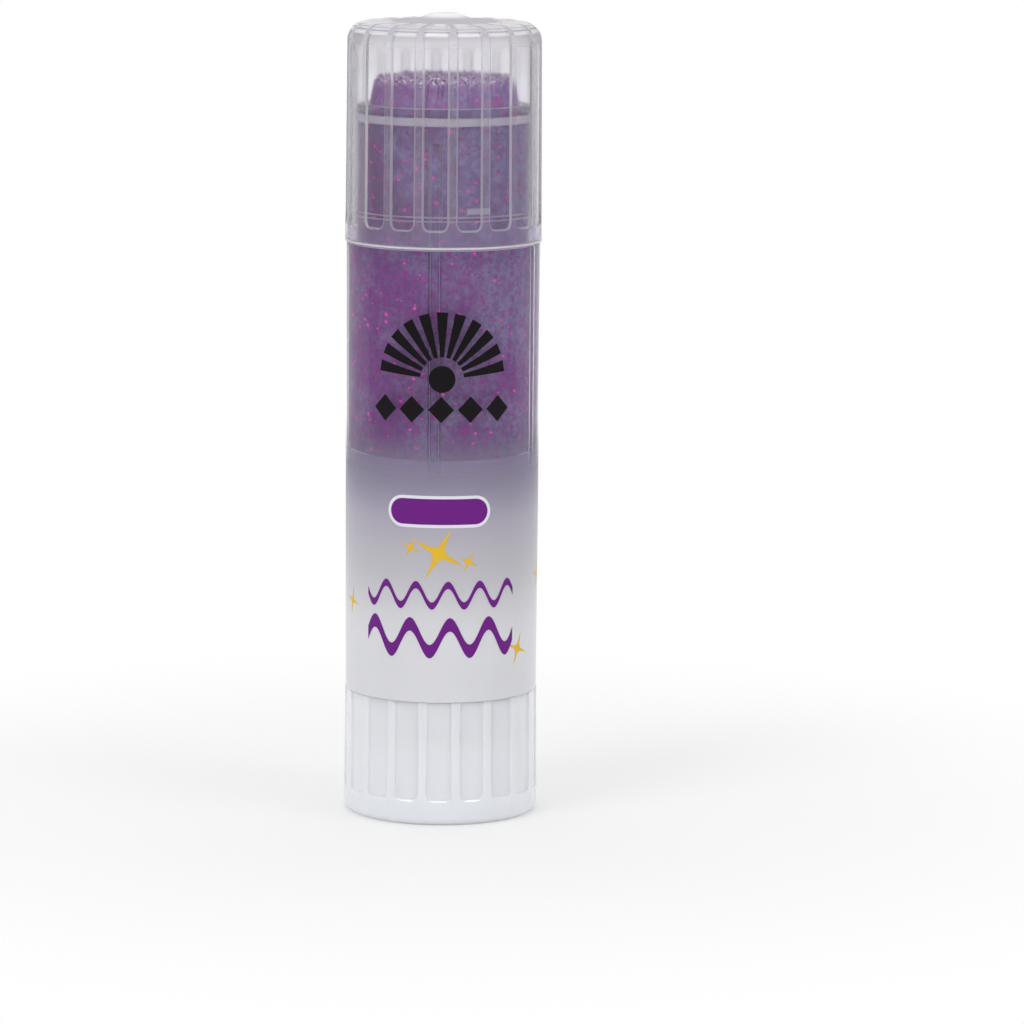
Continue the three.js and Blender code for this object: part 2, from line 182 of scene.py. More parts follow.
def modify(piece, kind, **settings):
    """Adds a modifier, sets it up and applies it."""
    work_on(piece)
    modifier = piece.modifiers.new(kind.lower(), kind)
    for setting, value in settings.items():
        setattr(modifier, setting, value)
    bpy.ops.object.modifier_apply(modifier=modifier.name)


def smooth(piece, angle=40):
    """Shades a piece smooth but for its sharp edges."""
    work_on(piece)
    bpy.ops.object.shade_smooth_by_angle(angle=math.radians(angle))


def colour(red, green, blue):
    """A colour written as it looks on a screen, from 0 to 255, as the shader's own values."""
    shares = (red / 255, green / 255, blue / 255)
    return (*[((c + 0.055) / 1.055) ** 2.4 if c > 0.04 else c / 12.92 for c in shares], 1)


class Signal:
    """A number that varies over a surface. Arithmetic on it adds Math nodes."""

    def __init__(self, finish, socket):
        self.finish = finish
        self.socket = socket

    def maths(self, operation, *values):
        return self.finish.node("ShaderNodeMath", {"operation": operation}, dict(enumerate(values)))

    def __add__(self, other):
        return self.maths("ADD", self, other)

    def __sub__(self, other):
        return self.maths("SUBTRACT", self, other)

    def __rsub__(self, other):
        return self.maths("SUBTRACT", other, self)

    def __mul__(self, other):
        return self.maths("MULTIPLY", self, other)

    __radd__ = __add__
    __rmul__ = __mul__


class Nodes:
    """The nodes of a material or of the world."""

    def __init__(self, owner):
        owner.use_nodes = True
        self.nodes = owner.node_tree.nodes
        self.links = owner.node_tree.links

    def node(self, kind, settings=None, values=None, output=0):
        """Any node: its settings are set first, then its sockets are given values or links."""
        node = self.nodes.new(kind)
        for setting, value in (settings or {}).items():
            setattr(node, setting, value)
        for socket, value in (values or {}).items():
            if isinstance(value, Signal):
                self.links.new(value.socket, node.inputs[socket])
            else:
                node.inputs[socket].default_value = value
        return Signal(self, node.outputs[output])


class Finish(Nodes):
    """A piece's material: a Principled shader with its fixed values, and what varies over it."""

    def __init__(self, name, **fixed):
        self.material = bpy.data.materials.new(name)
        super().__init__(self.material)
        self.shader = self.nodes["Principled BSDF"]
        for socket, value in fixed.items():
            self.shader.inputs[socket.replace("_", " ")].default_value = value
        self.place = self.node("ShaderNodeTexCoord", output="Object")

    def feed(self, socket, signal):
        self.links.new(signal.socket, self.shader.inputs[socket])

    def along(self, axis):
        """The place along an axis, in millimetres."""
        return self.node("ShaderNodeSeparateXYZ", values={0: self.place}, output=axis) * (1 / MM)

    def noise(self, scale, detail=2.0, rough=0.5):
        """Cloudy noise from 0 to 1, with a scale in features to a millimetre."""
        values = {"Vector": self.place, "Scale": scale / MM, "Detail": detail, "Roughness": rough}
        return self.node("ShaderNodeTexNoise", values=values)

    def between(self, signal, low, high):
        """A signal eased from 0 at low to 1 at high."""
        settings = {"interpolation_type": "SMOOTHSTEP"}
        return self.node("ShaderNodeMapRange", settings, {0: signal, 1: low, 2: high})

    def mix(self, share, first, second):
        """Two colours mixed by a share."""
        return self.node("ShaderNodeMix", {"data_type": "RGBA"}, {0: share, 6: first, 7: second}, 2)

    def relief(self, height, depth):
        """Bumps the surface by a height signal, with a depth in millimetres."""
        values = {"Height": height, "Distance": depth * MM}
        self.feed("Normal", self.node("ShaderNodeBump", values=values))


def finished(piece, finish, slot, body, *nodes):
    """Gives a piece its finish and its place in the frame."""
    work_on(piece)
    piece.data.materials.clear()
    piece.data.materials.append(finish.material)
    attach(piece, body)
    if nodes:
        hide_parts(*nodes)


base_outline = eased(
    [
        (wide_core, base_boss[1], 0),
        (base_boss[0], base_boss[1], 0),
        (base_boss[0], base_floor[0], 0),
        (base_recess_radius, base_floor[0], 0),
        (base_recess_radius, 0, 0),
        (base_foot_radius, 0, 1.0),
        (base_foot_radius - 0.03, base_flute_end, 0),
        (base_foot_radius - 0.04, base_flute_end + corner_room, 0),
        (base_top_radius, base_top, 0),
        (base_top_radius - 0.8, base_top, 0),
        (base_bore, base_top, 0),
        (base_bore, snap_groove[1] + 0.2, 0),
        (base_bore + snap_groove[2], snap_groove[1] - 0.2, 0),
        (base_bore + snap_groove[2], snap_groove[0] + 0.2, 0),
        (base_bore, snap_groove[0] - 0.2, 0),
        (base_bore, base_floor[1], 1.0),
        (base_boss[0], base_floor[1], 0),
        (base_boss[0], base_boss[2], 0),
        (wide_core, base_boss[2], 0),
    ]
)
base_skirt = turned("base_skirt", base_outline, base_columns, closed=False)
draw_in(
    base_skirt,
    0,
    lambda at: abs(at.z - base_flute_end) < 0.01,
    lambda rise: bpy.ops.transform.translate(value=(0, 0, rise * MM)),
)
press_flutes(
    base_skirt,
    0,
    base_flute_wall,
    lambda at, to: at.z > base_flute_end and math.hypot(at.x, at.y) > base_top_radius - 0.75,
)
pick(base_skirt, lambda at, to: at.z > base_top - flute_depth - 0.01 and to.z > 0.3, "VERT")
bpy.ops.transform.resize(value=(1, 1, 0), center_override=(0, 0, base_top * MM))
modify(base_skirt, "BEVEL", width=0.15 * MM, segments=3, limit_method="ANGLE", angle_limit=math.radians(30))
bpy.ops.mesh.primitive_cube_add(
    size=screw_pocket[0] * MM, location=(0, 0, (screw_pocket[1] + screw_pocket[0] / 2) * MM)
)
pocket_cutter = bpy.context.object
modify(base_skirt, "BOOLEAN", object=pocket_cutter, operation="DIFFERENCE", solver="EXACT")
bpy.data.objects.remove(pocket_cutter)
smooth(base_skirt)

white_plastic = Finish(
    "white polypropylene",
    Subsurface_Weight=0.8,
    Subsurface_Radius=(2.0 * MM, 2.0 * MM, 2.0 * MM),
    Subsurface_Scale=1.0,
    Coat_Weight=0.5,
    Coat_Roughness=0.1,
)
white_clouds = white_plastic.noise(0.12)
white_plastic.feed(
    "Base Color", white_plastic.mix(white_clouds, colour(227, 229, 236), colour(231, 233, 240))
)
white_plastic.feed("Roughness", white_plastic.noise(1.5) * 0.08 + 0.2)
white_plastic.relief(white_plastic.noise(3.0) + white_plastic.noise(0.4) * 4.0, 0.004)
finished(base_skirt, white_plastic, "white_plastic", "base", "twist_base")

# Lead screw: a white polypropylene moulding with a left-hand thread, a flange, and a square foot
# that is pressed into the base's pocket. Its own solid is merged and eased at the edges, because
# its shape is already the real one.
def eased_copy(node, name, edge):
    """A copy of a node's solid with its triangles merged and its edges broken."""
    piece = bpy.data.objects.new(name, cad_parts[node].data.copy())
    bpy.context.scene.collection.objects.link(piece)
    work_on(piece)
    bpy.ops.object.mode_set(mode="EDIT")
    bpy.ops.mesh.select_all(action="SELECT")
    bpy.ops.mesh.remove_doubles(threshold=0.001 * MM)
    bpy.ops.mesh.dissolve_limited(angle_limit=math.radians(1))
    modify(piece, "BEVEL", width=edge * MM, segments=2, limit_method="ANGLE", angle_limit=math.radians(40))
    smooth(piece, 30)
    return piece


screw = eased_copy("lead_screw", "screw", 0.08)
finished(screw, white_plastic, "white_plastic", "base", "lead_screw")

# Barrel: one hazy polypropylene moulding. A spigot for the base, the body under the label, and
# a thin neck with a sealing ring, a gripping ring and three lugs. Four keys run down its bore.
barrel_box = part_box("barrel")
barrel_foot = barrel_box[0].z / MM
barrel_mouth = barrel_box[1].z / MM
body_gap = 0.015  # over the base's top
body_foot = base_top + body_gap
shoulder = 73.9
bore_radius = 10.1
spigot_radius = 10.95
neck_radius = 11.0
body_radii = (12.15, 12.37)  # at the foot and at the shoulder
ring_proud = 0.16
snap_bead = (10.8, 12.0, 0.3)  # from, to and height
grip_ring = (77.3, 78.0)  # from and to
seal_ring = (89.5, 90.3)
lug_heights = (78.3, 79.0)
barrel_columns = 180
key_angle = -5
key_step = 90
key_half = 3  # degrees, and so are all the angles of keys and lugs
key_heights = (30.4, 87.2)
key_depth = 0.7
key_wall = 0.06
lug_angle = 24
lug_step = 120
lug_half = 8
lug_wall = 0.05
hazy_index = 1.25  # bends light less than clear plastic does, so that the gel shows evenly


def raised(radius, low, high, proud, ease=0.1):
    """Corners of a ring that stands proud of a wall, going up."""
    lean = min(proud, (high - low) / 3)
    return [
        (radius, low, 0),
        (radius + proud, low + lean, ease),
        (radius + proud, high - lean, ease),
        (radius, high, 0),
    ]


barrel_outline = eased(
    [
        (bore_radius, barrel_foot, 0.15),
        (spigot_radius, barrel_foot, 0.25),
        *raised(spigot_radius, *snap_bead),
        (spigot_radius, body_foot, 0),
        (body_radii[0], body_foot, 0.06),
        (body_radii[0] + 0.05, key_heights[0], 0),
        (body_radii[1], shoulder, 0.3),
        (neck_radius, shoulder, 0.2),
        *raised(neck_radius, *grip_ring, ring_proud),
        (neck_radius, lug_heights[0], 0),
        (neck_radius, lug_heights[1], 0),
        *raised(neck_radius, *seal_ring, ring_proud),
        (neck_radius, barrel_mouth, 0.3),
        (bore_radius, barrel_mouth, 0.3),
        (bore_radius, key_heights[1], 0),
        (bore_radius, shoulder, 0),
        (bore_radius, key_heights[0], 0),
    ],
    steps=3,
)


def sideways(place, normal):
    """How far a face looks round the axis, from 0 to 1."""
    return abs(place.x * normal.y - place.y * normal.x) / math.hypot(place.x, place.y)


def frost(piece, finish, wanted):
    """Gives the faces that pass a test a second finish."""
    piece.data.materials.append(finish.material)
    for face in piece.data.polygons:
        if wanted(face.center / MM, face.normal):
            face.material_index = len(piece.data.materials) - 1


barrel_wall = turned("barrel_wall", barrel_outline, barrel_columns)
pick(
    barrel_wall,
    lambda at, to: key_heights[0] < at.z < key_heights[1]
    and math.hypot(at.x, at.y) < bore_radius + 0.1
    and abs(off_by(at, key_angle, key_step)) < key_half,
)
bpy.ops.mesh.inset(thickness=key_wall * MM, depth=key_depth * MM)
pick(
    barrel_wall,
    lambda at, to: lug_heights[0] < at.z < lug_heights[1]
    and math.hypot(at.x, at.y) > neck_radius - 0.1
    and abs(off_by(at, lug_angle, lug_step)) < lug_half,
)
bpy.ops.mesh.inset(thickness=lug_wall * MM, depth=ring_proud * MM)
modify(barrel_wall, "BEVEL", width=0.06 * MM, segments=2, limit_method="ANGLE", angle_limit=math.radians(35))
smooth(barrel_wall, 35)

hazy_plastic = Finish(
    "hazy polypropylene",
    Base_Color=colour(249, 248, 252),
    Transmission_Weight=0.985,
    IOR=hazy_index,
)
hazy_plastic.feed("Roughness", hazy_plastic.noise(0.5) * 0.06 + 0.08)
hazy_plastic.relief(hazy_plastic.noise(0.25, 1.0), 0.02)
finished(barrel_wall, hazy_plastic, "barrel_plastic", "barrel", "barrel")
hazy_edge = Finish(
    "hazy polypropylene edge", Base_Color=colour(240, 236, 248), Transmission_Weight=0.55, IOR=hazy_index
)
hazy_edge.feed("Roughness", hazy_edge.noise(0.8) * 0.1 + 0.25)
frost(
    barrel_wall,
    hazy_edge,
    lambda at, to: sideways(at, to) > 0.3
    and at.z > shoulder
    or lug_heights[0] - 0.1 < at.z < lug_heights[1] + 0.1
    and math.hypot(at.x, at.y) > neck_radius + 0.05
    or abs(to.z) > 0.3
    and at.z > shoulder - 0.3,
)
faint_edge = Finish(
    "hazy polypropylene inside edge",
    Base_Color=colour(240, 236, 248),
    Transmission_Weight=0.9,
    IOR=hazy_index,
)
faint_edge.feed("Roughness", faint_edge.noise(0.8) * 0.1 + 0.25)
frost(barrel_wall, faint_edge, lambda at, to: sideways(at, to) > 0.3 and at.z < shoulder)

# Seal ring: the ring under the mouth, pressed against the cap's bore. It is a part of the barrel's
# moulding that looks milky, because it touches the cap.
seal_reach = 0.24
seal_outline = [
    Vector((neck_radius - 0.2, seal_ring[0] - 0.2)),
    Vector((neck_radius + 0.02, seal_ring[0] - 0.2)),
    Vector((neck_radius + seal_reach, seal_ring[0])),
    Vector((neck_radius + seal_reach, seal_ring[1])),
    Vector((neck_radius + 0.02, seal_ring[1] + 0.1)),
    Vector((neck_radius - 0.2, seal_ring[1] + 0.1)),
]
seal = turned("seal", seal_outline, barrel_columns)
modify(seal, "BEVEL", width=0.05 * MM, segments=2, limit_method="ANGLE", angle_limit=math.radians(20))
smooth(seal)
pressed_plastic = Finish(
    "pressed polypropylene", Base_Color=colour(246, 238, 252), Transmission_Weight=0.38, IOR=1.2
)
pressed_plastic.feed("Roughness", pressed_plastic.noise(0.5) * 0.1 + 0.2)
finished(seal, pressed_plastic, "barrel_plastic", "barrel")

# Wrap label: a clear film, 0.1 mm thick, wound round the body and lapped on itself at the back.
# White ink printed on it as a fine dot screen fades from none under the cap to solid at the foot.
label_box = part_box("wrap_label")
label_foot = body_foot + 0.02
label_top = label_box[1].z / MM
label_radii = (12.3, 12.52)  # at the foot and at the top
label_thickness = 0.1
label_lap = (0.045, 4)  # thickness, and half width in degrees
screen_pitch = 0.24
fade = (52.0, 38.5)  # heights: the white ink starts, and it is nearly whole
white_from = 26.0
sleeve_painted_shade = (23.0, 34.0)  # heights: painted shade of the sleeve behind the film starts, and is full
cup_painted_shade_and_tint = (32.0, 46.0)  # heights: painted shade and the gel's tint from behind the film start, and are full

label_outline = eased(
    [
        (label_radii[0] - label_thickness, label_foot, 0),
        (label_radii[0], label_foot, 0.03),
        (label_radii[1], label_top, 0.03),
        (label_radii[1] - label_thickness, label_top, 0),
    ],
    steps=1,
)


def outward(place, normal):
    """Whether a face looks away from the axis."""
    return place.x * normal.x + place.y * normal.y > 0.3 * math.hypot(place.x, place.y)


label_film = turned("label_film", label_outline, barrel_columns)
pick(label_film, lambda at, to: outward(at, to) and abs(off_by(at, 180 + label_lap[1], 360)) < label_lap[1])
bpy.ops.mesh.inset(thickness=0.02 * MM, depth=label_lap[0] * MM)
smooth(label_film)

film = Finish("printed film", Roughness=0.28, IOR=1.5)
to_right = film.along("X")
round_label = to_right.maths("ARCTAN2", to_right, 0.0 - film.along("Y")) * label_radii[1]
rise = film.along("Z")
ink = film.between(rise, *fade)
screen_turn = math.tau / screen_pitch / math.sqrt(2)
slant = (round_label + rise) * screen_turn
counter = (round_label - rise) * screen_turn
dots = slant.maths("COSINE", slant) + counter.maths("COSINE", counter)
screen = ink * (1.0 - ink) * dots * 0.12
film.feed("Alpha", ink * 0.9 + film.between(rise, fade[1], white_from) * 0.1 + screen)
ink_colour = film.mix(film.noise(0.3), colour(210, 211, 215), colour(216, 216, 220))
# Painted shade on the white ink, where the sleeve stands behind the film.
ink_colour = film.mix(film.between(rise, *sleeve_painted_shade), ink_colour, colour(190, 188, 195))
# Painted shade and a painted tint of the gel on the white ink, where the cup and gel stand behind the film.
ink_colour = film.mix(film.between(rise, *cup_painted_shade_and_tint), ink_colour, colour(158, 151, 175))
film.feed("Base Color", ink_colour)
finished(label_film, film, "label_film", "barrel", "wrap_label")

# Print: inks screened on the film. A black sunburst over a row of diamonds, a purple bar with a
# white edge, two purple waves, and gold sparkles that go right round the stick.
ink_lift = 0.004
ink_thickness = 0.012
cut_step = 0.5
burst_centre = (0.1, 57.6)  # along the label from the front, and up the stick
burst_core = 1.7
burst_rays = 11
burst_spread = 16  # degrees
ray_length = (2.8, 8.5)  # from and to, out of the centre
ray_width = (0.5, 1.45)  # inner and outer
diamond_row = (53.7, 3.8, 5)  # height, step and count
diamond_size = (3.3, 3.4)  # width and height
bar_centre = (-0.2, 40.65)
bar_size = (12.9, 3.3)  # width and height
bar_edge = 0.4
waves = ((29.9, 1.35, 0.95, 5), (24.4, 1.75, 1.75, 4))  # height, swing, stroke and periods
wave_length = 21.0
sparkles = (  # along the label, height, size and turn in degrees
    (-0.2, 35.3, 3.6, -27),
    (-3.9, 36.0, 1.5, -27),
    (3.7, 34.2, 1.5, -27),
    (-14.4, 28.0, 1.8, -10),
    (11.6, 22.3, 2.2, -20),
    (17.6, 31.0, 2.0, -20),
    (24.0, 24.0, 1.6, -15),
    (29.5, 33.5, 2.6, -27),
    (-22.0, 23.0, 2.2, -20),
    (-27.5, 32.0, 1.6, -15),
    (-34.0, 25.5, 2.4, -27),
)


def flat(add, centre, turn=0.0, **settings):
    """A flat primitive of the print laid out in millimetres, along the label and up it."""
    put_down()
    add(location=(centre[0] * MM, centre[1] * MM, 0), rotation=(0, 0, math.radians(turn)), **settings)
    return bpy.context.object


def ray_of_burst(k):
    """A ray that widens outwards from the burst's centre."""
    turn = (burst_rays - 1) / 2 * burst_spread - k * burst_spread
    ray = flat(bpy.ops.mesh.primitive_plane_add, burst_centre, turn, size=MM)
    ray.data.transform(Matrix.Diagonal((ray_width[0], ray_length[1] - ray_length[0], 1, 1)))
    ray.data.transform(Matrix.Translation((0, sum(ray_length) / 2 * MM, 0)))
    for point in ray.data.vertices:
        point.co.x *= ray_width[1] / ray_width[0] if point.co.y > sum(ray_length) / 2 * MM else 1
    return ray


def diamond(k):
    """A square stood on its corner."""
    centre = ((k - (diamond_row[2] - 1) / 2) * diamond_row[1], diamond_row[0])
    piece = flat(bpy.ops.mesh.primitive_circle_add, centre, vertices=4, radius=MM / 2, fill_type="NGON")
    piece.data.transform(Matrix.Diagonal((*diamond_size, 1, 1)))
    return piece


def rounded_bar(margin):
    """A bar with round ends."""
    width, height = bar_size[0] + 2 * margin, bar_size[1] + 2 * margin
    piece = flat(bpy.ops.mesh.primitive_plane_add, bar_centre, size=MM)
    piece.data.transform(Matrix.Diagonal((width, height, 1, 1)))
    bpy.ops.object.mode_set(mode="EDIT")
    bpy.ops.mesh.select_all(action="SELECT")
    bpy.ops.mesh.bevel(offset=0.499 * height * MM, segments=8, affect="VERTICES")
    put_down()
    return piece


def wave(middle, rise, stroke, periods):
    """A ribbon that waves along the label."""
    piece = flat(
        bpy.ops.mesh.primitive_grid_add, (0, middle), x_subdivisions=periods * 24, y_subdivisions=1, size=MM
    )
    piece.data.transform(Matrix.Diagonal((wave_length, stroke, 1, 1)))
    for point in piece.data.vertices:
        point.co.y += rise * MM * math.sin(point.co.x / wave_length / MM * math.tau * periods)
    return piece


def sparkle(x, z, size, turn):
    """A star of four slender points."""
    star = flat(
        bpy.ops.mesh.primitive_circle_add, (x, z), turn, vertices=16, radius=size * MM, fill_type="NGON"
    )
    pick(star, lambda at, to: min(abs(at.x), abs(at.y)) > 0.01, "VERT")
    bpy.ops.transform.resize(value=(0.27, 0.27, 1), center_override=(x * MM, z * MM, 0))
    put_down()
    return star


def printed(name, shapes, ink_colour, layer=1):
    """Joins flat shapes, cuts them across so that they bend, and lays them on the label as ink."""
    put_down()
    for shape in shapes:
        shape.select_set(True)
    art = shapes[0]
    bpy.context.view_layer.objects.active = art
    bpy.ops.object.transform_apply()
    if len(shapes) > 1:
        bpy.ops.object.join()
    art.name = name
    bpy.ops.object.mode_set(mode="EDIT")
    low = min(point.co.x for point in art.data.vertices) / MM
    high = max(point.co.x for point in art.data.vertices) / MM
    for k in range(1, math.ceil((high - low) / cut_step)):
        bpy.ops.mesh.select_all(action="SELECT")
        bpy.ops.mesh.bisect(plane_co=((low + k * cut_step) * MM, 0, 0), plane_no=(1, 0, 0))
    put_down()
    for point in art.data.vertices:
        x, z = point.co.x / MM, point.co.y / MM
        share = (z - label_foot) / (label_top - label_foot)
        r = label_radii[0] + share * (label_radii[1] - label_radii[0]) + ink_lift * layer
        angle = x / label_radii[1]
        point.co = Vector((r * math.sin(angle), -r * math.cos(angle), z)) * MM
    modify(art, "SOLIDIFY", thickness=ink_thickness * MM, offset=1.0)
    smooth(art)
    ink = Finish(name, Base_Color=ink_colour, Specular_IOR_Level=0.15)
    ink.feed("Roughness", ink.noise(2.0) * 0.1 + 0.25)
    finished(art, ink, "label_film", "barrel")


black_shapes = [ray_of_burst(k) for k in range(burst_rays)]
black_shapes += [diamond(k) for k in range(diamond_row[2])]
disc = flat(
    bpy.ops.mesh.primitive_circle_add, burst_centre, vertices=40, radius=burst_core * MM, fill_type="NGON"
)
black_shapes.append(disc)
printed("black_ink", black_shapes, colour(20, 15, 20))
printed("white_ink", [rounded_bar(bar_edge)], colour(226, 224, 234))
purple_shapes = [rounded_bar(0)] + [wave(*sizes) for sizes in waves]
printed("purple_ink", purple_shapes, colour(107, 29, 128), layer=5)
printed("gold_ink", [sparkle(*sizes) for sizes in sparkles], colour(222, 180, 52))

# Carrier cup: natural polypropylene, a little milky. It carries the gel on the keys and wipes the
# bore with two lips, and the nut at the foot of its long sleeve rides on the screw.
cup_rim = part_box("carrier_cup")[1].z / MM
cup_foot = cup_rim - 8.5
cup_floor = cup_foot + 1.2
cup_inside = 8.6
sleeve_radius = 4.7
sleeve_top = cup_rim - 0.3
small_core = 0.6  # the last ring of a narrow flat, before it is filled
wet_radius = bore_radius + 0.03
groove_depth = 0.5
groove_wall = 0.2
groove_half = 5  # degrees
lip_heights = (2.8, 4.6)  # above the cup's foot
sleeve_cut = cup_foot - 0.4

sleeve = eased_copy("carrier_cup", "sleeve", 0.06)
bpy.ops.object.mode_set(mode="EDIT")
bpy.ops.mesh.select_all(action="SELECT")
bpy.ops.mesh.bisect(
    plane_co=(0, 0, sleeve_cut * MM), plane_no=(0, 0, 1), clear_outer=True, use_fill=True
)


def groove_keys(piece, low, high):
    """Presses grooves for the four keys into a piece's side between two heights."""
    pick(
        piece,
        lambda at, to: low < at.z < high
        and abs(off_by(at, key_angle, key_step)) < groove_half
        and math.hypot(at.x, at.y) > bore_radius - 0.3,
    )
    bpy.ops.mesh.inset(thickness=groove_wall * MM, depth=-groove_depth * MM)


cup_outline = eased(
    [
        (small_core, sleeve_top, 0),
        (sleeve_radius, sleeve_top, 0.2),
        (sleeve_radius, cup_floor, 0.4),
        (cup_inside, cup_floor, 0.6),
        (cup_inside + 0.2, cup_rim, 0.1),
        (wet_radius, cup_rim, 0.1),
        (wet_radius, cup_foot + lip_heights[1], 0),
        (wet_radius, cup_foot + lip_heights[0], 0),
        (wet_radius, cup_foot, 0.2),
        (sleeve_radius, cup_foot, 0.3),
        (sleeve_radius, sleeve_cut, 0),
        (small_core, sleeve_cut, 0),
    ],
    steps=3,
)
cup = turned("cup", cup_outline, barrel_columns, closed=False)
groove_keys(cup, cup_foot + 0.25, cup_rim - 0.15)
smooth(cup)

milky_plastic = Finish("milky polypropylene", Roughness=0.35, IOR=1.49)
# Painted light: towards the rim the opaque cup takes the colour of the gel that would show through its milky
# wall.
gel_seen_through_wall = milky_plastic.between(milky_plastic.along("Z"), cup_foot, cup_rim)
milky_plastic.feed("Base Color", milky_plastic.mix(gel_seen_through_wall, colour(196, 192, 212), colour(170, 144, 196)))
milky_plastic.relief(milky_plastic.noise(2.0), 0.004)
finished(sleeve, milky_plastic, "natural_plastic", "carrier", "carrier_cup")
finished(cup, milky_plastic, "natural_plastic", "carrier")

# Gel: a bluish violet glue, cast in the bore and grooved by its keys, with magenta clouds in it.
# It stands out of the mouth, drawn in at its top, which has dried to a frost of glitter.
gel_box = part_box("gel_stick")
gel_top = gel_box[1].z / MM
gel_top_radius = 8.45
gel_slip = 0.1  # between the gel and what it is cast on
shrunk_from = barrel_mouth - 1.2
shrunk_by = 0.6  # at the mouth
frost_height = 0.42  # of the rough top
frost_ring = 0.35

gel_outline = eased(
    [
        (small_core, sleeve_top + gel_slip, 0),
        (sleeve_radius + gel_slip, sleeve_top + gel_slip, 0),
        (sleeve_radius + gel_slip, cup_floor + gel_slip, 0),
        (cup_inside - gel_slip, cup_floor + gel_slip, 0),
        (cup_inside - gel_slip, cup_rim + 0.05, 0),
        (wet_radius, cup_rim + 0.05, 0.1),
        (wet_radius, shoulder, 0),
        (wet_radius, key_heights[1] - 0.03, 0),
        (wet_radius, shrunk_from, 0.6),
        (wet_radius - shrunk_by, barrel_mouth - 0.1, 0.6),
        (gel_top_radius, gel_top - 0.15, 0.4),
        *[(gel_top_radius - k * frost_ring, gel_top, 0) for k in range(2, 22)],
    ],
    steps=3,
)
gel = turned("gel", gel_outline, barrel_columns, closed=False)
groove_keys(gel, cup_rim + 0.2, key_heights[1])
pick(gel, lambda at, to: at.z > gel_top - 0.7 and math.hypot(at.x, at.y) < gel_top_radius + 0.1, "VERT")
bpy.ops.transform.vertex_random(offset=frost_height * MM, uniform=0.3, normal=0.5, seed=3)
smooth(gel, 60)

glitter_gel = Finish("glitter gel", Roughness=0.4, Specular_IOR_Level=0.2, Emission_Strength=1.0)
gel_height = glitter_gel.along("Z")
# 1 in the neck, under the cap. There the gel is painted lighter and bluer as painted light, and the magenta
# blush is let in.
neck_painted_light_and_blush = glitter_gel.between(gel_height, shoulder - 2, grip_ring[1])
bare = glitter_gel.between(gel_height, barrel_mouth - 0.5, barrel_mouth + 0.5)
clouds = glitter_gel.noise(0.1, 4.0, 0.6) - glitter_gel.along("X") * 0.008
clouds = glitter_gel.between(clouds, 0.4, 0.66)
mottle = glitter_gel.between(glitter_gel.noise(1.0, 4.0, 0.7), 0.36, 0.62)
ragged = gel_height + glitter_gel.noise(1.4, 3.0, 0.7) * 2.4
frost_and_painted_glow = glitter_gel.between(ragged, gel_top + 0.2, gel_top + 1.4)
blush = glitter_gel.between(glitter_gel.noise(0.55, 3.0, 0.6), 0.46, 0.6)


def specks(cells, reach, share, clustered):
    """Specks of glitter deep in the gel, in so many cells to a millimetre: out to a reach in the
    cell, in a share of the cells that the magenta clouds and the bare top add to."""
    values = {"Vector": glitter_gel.place, "Scale": cells / MM}
    distance = glitter_gel.node("ShaderNodeTexVoronoi", values=values)
    chance = glitter_gel.node("ShaderNodeTexVoronoi", values=values, output="Color")
    chance = glitter_gel.node("ShaderNodeSeparateColor", values={0: chance})
    chance = chance + clouds * clustered + bare * 0.2
    picked = glitter_gel.between(chance, 1 - share, 1.02 - share)
    return (1.0 - glitter_gel.between(distance, reach * 0.4, reach)) * picked


# Painted light: lighter, bluer gel in the neck, to make up for the light the cap takes.
gel_colour = glitter_gel.mix(neck_painted_light_and_blush, colour(152, 138, 180), colour(178, 160, 222))
gel_colour = glitter_gel.mix(clouds * 0.7, gel_colour, colour(138, 62, 150))
gel_colour = glitter_gel.mix(mottle * 0.5, gel_colour, colour(116, 72, 140))
blush_colour = glitter_gel.mix(bare, colour(138, 62, 154), colour(198, 98, 186))
gel_colour = glitter_gel.mix(blush * neck_painted_light_and_blush * 0.45, gel_colour, blush_colour)
gel_colour = glitter_gel.mix(frost_and_painted_glow * 0.7, gel_colour, colour(214, 196, 226))
gel_colour = glitter_gel.mix(specks(2.6, 0.5, 0.34, 0.4) * 0.5, gel_colour, colour(156, 38, 150))
gel_colour = glitter_gel.mix(specks(1.2, 0.42, 0.35, 0.2) * 0.6, gel_colour, colour(196, 30, 160))
glitter_gel.feed("Base Color", gel_colour)
# Painted light: the frosted top glows a little, though it is no lamp, for the light that comes through the
# crown.
glitter_gel.feed("Emission Color", glitter_gel.mix(frost_and_painted_glow, colour(0, 0, 0), colour(84, 66, 92)))
glitter_gel.relief(glitter_gel.noise(0.8), 0.08)
finished(gel, glitter_gel, "glitter_gel", "carrier", "gel_stick")
# Painted highlight: the sides of the gel's key grooves in the neck are given a light colour, for the light
# lines along the keys.
key_side_painted_light = Finish("gel painted light beside a key", Base_Color=colour(206, 190, 226))
key_side_painted_light.feed("Roughness", key_side_painted_light.noise(1.0) * 0.1 + 0.4)
frost(gel, key_side_painted_light, lambda at, to: sideways(at, to) > 0.3 and shoulder < at.z < key_heights[1])
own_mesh(gel)

# Glitter: hexagonal flakes cut from magenta and silvery foil, a third of a millimetre across,
# lying just under the gel's skin at all angles and crowded on its top.
flake_thickness = 0.02
side_flakes = 380
neck_flakes = 150
top_flakes = 1900
foil_painted_glint = 0.16
draw = random.Random(7)

put_down()
bpy.ops.mesh.primitive_cylinder_add(vertices=6, radius=MM, depth=MM)
flake = bpy.context.object


